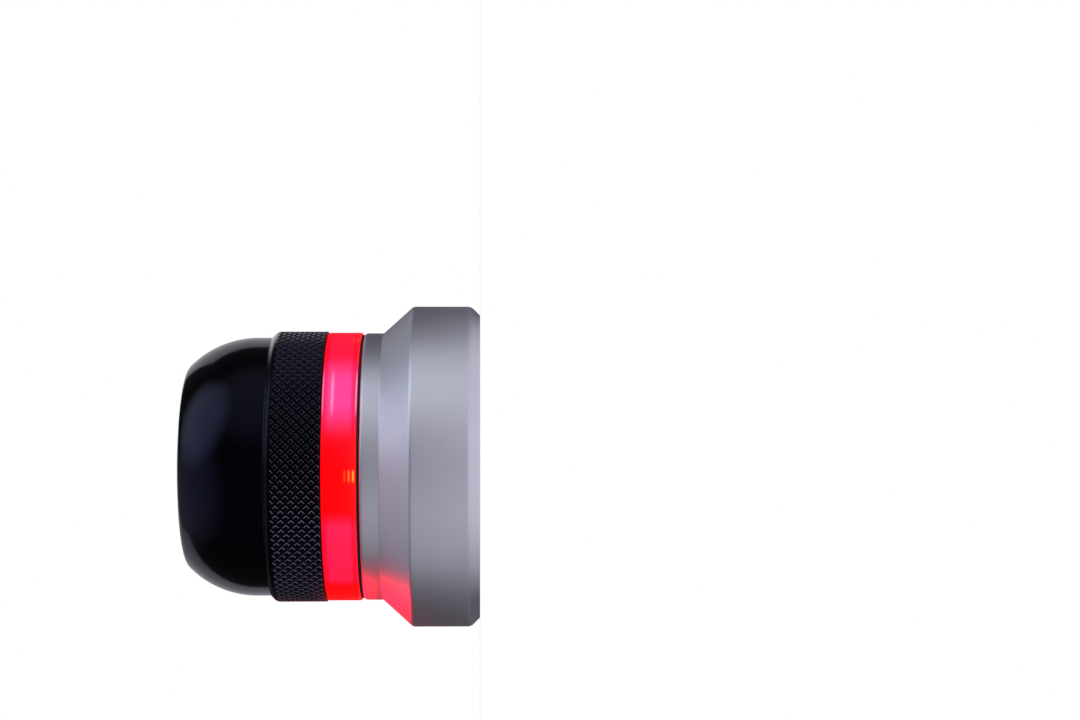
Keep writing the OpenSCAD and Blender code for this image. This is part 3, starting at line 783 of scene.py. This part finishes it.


# a flat disc of rings round the object, closed at its middle; the camera sees the paper evenly pale, while
# what the part sees of it is painted light, brighter on the lit side
def addFloor(s):
    angle = np.arange(s["sides"]) * 2 * np.pi / s["sides"]
    ring = np.stack([np.cos(angle), np.sin(angle), 0 * angle], 1)
    points = np.concatenate([np.zeros((1, 3)), ring * s["fadeStart"], ring * s["floorRadius"]])
    inner = 1 + np.arange(s["sides"])
    following = np.roll(inner, -1)
    outer = np.stack([inner, inner + s["sides"], following + s["sides"], following], 1)
    middle = np.stack([0 * inner, inner, following], 1)
    mesh = bpy.data.meshes.new("paleFloor")
    mesh.from_pydata(points.tolist(), [], middle.tolist() + outer.tolist())
    floor = bpy.data.objects.new("paleFloor", mesh)
    bpy.context.scene.collection.objects.link(floor)
    material, tree = newMaterial("matPaperFloor")
    place = addNode(tree, "TexCoord")["Object"]
    away = addNode(tree, "VectorMath", {0: place}, operation="LENGTH")["Value"]
    fade = addNode(tree, "MapRange", {"Value": away, "From Min": s["fadeStart"], "From Max": s["fadeEnd"]},
                   interpolation_type="SMOOTHSTEP")[0]
    # painted light for the part: bright on the lit side and dim opposite, with the lit side narrower close
    # beside the foot as painted shade there
    outward = addNode(tree, "VectorMath", {0: place}, operation="NORMALIZE")[0]
    facing = addNode(tree, "VectorMath", {0: outward, 1: lightDirection(s["paintedLitAzimuth"], 0)},
                     operation="DOT_PRODUCT")["Value"]
    ends = {"Value": facing, "To Min": s["paintedShadeLevel"], "To Max": s["paintedLitLevel"]}
    broad = addNode(tree, "MapRange", {**ends, "From Min": s["broadFrom"]},
                    interpolation_type="SMOOTHSTEP")[0]
    steep = addNode(tree, "MapRange", {**ends, "From Min": s["steepFrom"]},
                    interpolation_type="SMOOTHSTEP")[0]
    beside = addNode(tree, "MapRange", {"Value": away, "From Min": s["nearEdge"],
                                        "From Max": s["farEdge"]})[0]
    given = addNode(tree, "Mix", {"Factor": beside, "A": steep, "B": broad})[0]
    seen = addNode(tree, "LightPath")["Is Camera Ray"]
    paper = addNode(tree, "BsdfPrincipled", {
        "Base Color": linearColour(s["floorColour"]), "Roughness": s["floorRough"],
        "Emission Color": linearColour(s["floorColour"]), "Emission Strength": s["glowSeen"],
    })[0]
    white = addNode(tree, "Emission", {"Color": (1, 1, 1, 1), "Strength": 1.0})[0]
    faded = addNode(tree, "MixShader", {0: fade, 1: paper, 2: white})[0]
    soft = addNode(tree, "Emission", {"Color": linearColour(s["paintedLitColour"]), "Strength": given})[0]
    shader = addNode(tree, "MixShader", {0: seen, 1: soft, 2: faded})[0]
    addNode(tree, "OutputMaterial", {"Surface": shader})
    mesh.materials.append(material)


# a panel with clean edges that faces a point on the axis; level is its brightness, and it lights only the
# pieces that it reaches
def addPanel(name, s):
    light = bpy.data.lights.new(name, "AREA")
    light.shape = "RECTANGLE"
    light.size, light.size_y = s["width"], s["height"]
    light.energy = s["level"] * math.pi * s["width"] * s["height"]
    light.color = linearColour(s["colour"])[:3]
    towards = lightDirection(s["azimuth"], s["elevation"])
    panel = bpy.data.objects.new(name, light)
    panel.location = Vector((0, 0, s["aim"])) + towards * s["distance"]
    panel.rotation_euler = towards.to_track_quat("Z", "Y").to_euler()
    panel.visible_camera = False
    bpy.context.scene.collection.objects.link(panel)
    lit = bpy.data.collections.new(name + "Reach")
    for piece in s["reaches"]:
        lit.objects.link(bpy.data.objects[piece])
    panel.light_linking.receiver_collection = lit


panels = {
    # white surfaces behind the black pieces: clean bands along the dome's upper and lower edge and the lip
    "backPanel": {"azimuth": 159, "elevation": 12, "distance": 0.5, "width": 0.48, "height": 0.34,
                  "aim": 0.04, "level": 0.62, "colour": "f8f5fb", "reaches": ["domedCap", "knurledRing"]},
    "lipPanel": {"azimuth": 154, "elevation": 24, "distance": 0.5, "width": 0.32, "height": 0.28,
                 "aim": 0.03, "level": 0.9, "colour": "f8f2f8", "reaches": ["knurledRing"]},
    "lowPanel": {"azimuth": -154, "elevation": 28, "distance": 0.5, "width": 0.46, "height": 0.56,
                 "aim": 0.04, "level": 0.5, "colour": "f4eefb", "reaches": ["domedCap"]},
    # pale walls beside the bare metal
    "sidePanel": {"azimuth": 64, "elevation": 8, "distance": 0.5, "width": 0.5, "height": 0.3,
                  "aim": 0.018, "level": 0.49, "colour": "f2f2fa", "reaches": ["turnedBase"]},
    "underPanel": {"azimuth": -46, "elevation": 13, "distance": 0.5, "width": 0.6, "height": 0.3,
                   "aim": 0.018, "level": 0.36, "colour": "f4eefa", "reaches": ["turnedBase"]},
    "frontPanel": {"azimuth": 10, "elevation": 12, "distance": 0.5, "width": 0.42, "height": 0.3,
                   "aim": 0.018, "level": 0.09, "colour": "ffe6f0", "reaches": ["turnedBase"]},
    "topPanel": {"azimuth": 138, "elevation": 30, "distance": 0.5, "width": 0.34, "height": 0.34,
                 "aim": 0.018, "level": 0.3, "colour": "f2f2fa", "reaches": ["turnedBase"]},
    # a strip for its rounded edges, and a dim one above for the cone
    "edgePanel": {"azimuth": 70, "elevation": 34, "distance": 0.5, "width": 0.46, "height": 0.16,
                  "aim": 0.018, "level": 0.6, "colour": "eef0fa", "reaches": ["turnedBase"]},
    "conePanel": {"azimuth": -100, "elevation": 64, "distance": 0.5, "width": 0.42, "height": 0.42,
                  "aim": 0.018, "level": 0.14, "colour": "d8dcff", "reaches": ["turnedBase"]},
    # red light that a pale surface behind the lower side sends back
    "redBounce": {"azimuth": -118, "elevation": 0, "distance": 0.032, "width": 0.05, "height": 0.011,
                  "aim": 0.0255, "level": 7.0, "colour": "ff0026", "reaches": ["turnedBase"]},
    "redSpill": {"azimuth": -112, "elevation": 0, "distance": 0.034, "width": 0.05, "height": 0.011,
                 "aim": 0.0235, "level": 0.9, "colour": "ff0030", "reaches": ["knurledRing"]},
}

# soft lights with no edge: full inside the inner angle, gone outside the outer one, in degrees
softLights = {
    "upper": {"azimuth": 67, "elevation": 55, "inner": 8, "outer": 36, "level": 1.3, "colour": "dae6f8"},
    "side": {"azimuth": 62, "elevation": 4, "inner": 0, "outer": 46, "level": 0.32, "colour": "f4f4ff"},
    "overhead": {"azimuth": -40, "elevation": 74, "inner": 0, "outer": 46, "level": 0.45, "colour": "e2e8ff"},
    "front": {"azimuth": -25, "elevation": 10, "inner": 0, "outer": 60, "level": 0.04, "colour": "f0eeff"},
    "rim": {"azimuth": -142, "elevation": 56, "inner": 0, "outer": 26, "level": 0.12, "colour": "f0eeff"},
}
roomLight = {"level": 0.05, "colour": "e8e8f4"}


# white for the camera; for everything else a dim room with the soft lights in it
def addRoom(room, lights):
    world = bpy.data.worlds.new("whiteRoom")
    world.use_nodes = True
    tree = world.node_tree
    tree.nodes.clear()
    direction = addNode(tree, "TexCoord")["Generated"]
    total = addNode(tree, "VectorMath", {0: linearColour(room["colour"])[:3], "Scale": room["level"]},
                    operation="SCALE")[0]
    for s in lights.values():
        facing = addNode(tree, "VectorMath", {0: direction, 1: lightDirection(s["azimuth"], s["elevation"])},
                         operation="DOT_PRODUCT")["Value"]
        level = addNode(tree, "MapRange", {
            "Value": facing, "From Min": math.cos(math.radians(s["outer"])),
            "From Max": math.cos(math.radians(s["inner"])), "To Max": s["level"],
        }, interpolation_type="SMOOTHSTEP")[0]
        share = addNode(tree, "VectorMath", {0: linearColour(s["colour"])[:3], "Scale": level},
                        operation="SCALE")[0]
        total = addNode(tree, "VectorMath", {0: total, 1: share}, operation="ADD")[0]
    seen = addNode(tree, "LightPath")["Is Camera Ray"]
    white = addNode(tree, "Background", {"Color": (1, 1, 1, 1), "Strength": 1.0})[0]
    lit = addNode(tree, "Background", {"Color": total, "Strength": 1.0})[0]
    mixed = addNode(tree, "MixShader", {0: seen, 1: lit, 2: white})[0]
    addNode(tree, "OutputWorld", {"Surface": mixed})
    bpy.context.scene.world = world


addFloor(stageSet)
for name, settings in panels.items():
    addPanel(name, settings)
addRoom(roomLight, softLights)
bpy.context.scene.view_settings.view_transform = "Standard"
bpy.context.scene.view_settings.look = "None"

# The view of a long lens, a little towards +X of the axis and level with the table, on its side:
# the picture's left is up along the object, and its top is +X.
photoView = {
    "width": 1080, "height": 720,                   # pixels
    "axisRow": 466, "baseColumn": 480,              # where the axis and the table plane fall
    "pixelsPerMm": 5.79,                            # at the depth of the axis
    "distance": 390.0, "lift": 0.02,                # camera to the axis, and above the table, mm
    "sensor": 36.0,
}


# the focal length in pixels is the scale at the axis times the distance, and the turn puts the table plane
# on its column
def addCamera(s):
    camera = bpy.data.objects.new("photoCamera", bpy.data.cameras.new("photoCamera"))
    focal = s["pixelsPerMm"] * s["distance"]        # pixels
    camera.data.sensor_width = s["sensor"]
    camera.data.lens = s["sensor"] * focal / s["width"]
    aside = (s["axisRow"] - s["height"] / 2) / s["pixelsPerMm"]
    turn = math.atan((s["width"] / 2 - s["baseColumn"]) / focal) + math.atan(s["lift"] / s["distance"])
    right = Vector((0, -math.sin(turn), -math.cos(turn)))
    up = Vector((1, 0, 0))
    axes = Matrix((right, up, right.cross(up))).transposed().to_4x4()
    camera.matrix_world = Matrix.Translation(Vector((aside, -s["distance"], s["lift"])) * mm) @ axes
    bpy.context.scene.collection.objects.link(camera)
    bpy.context.scene.camera = camera


addCamera(photoView)
print("stage, light and camera set")
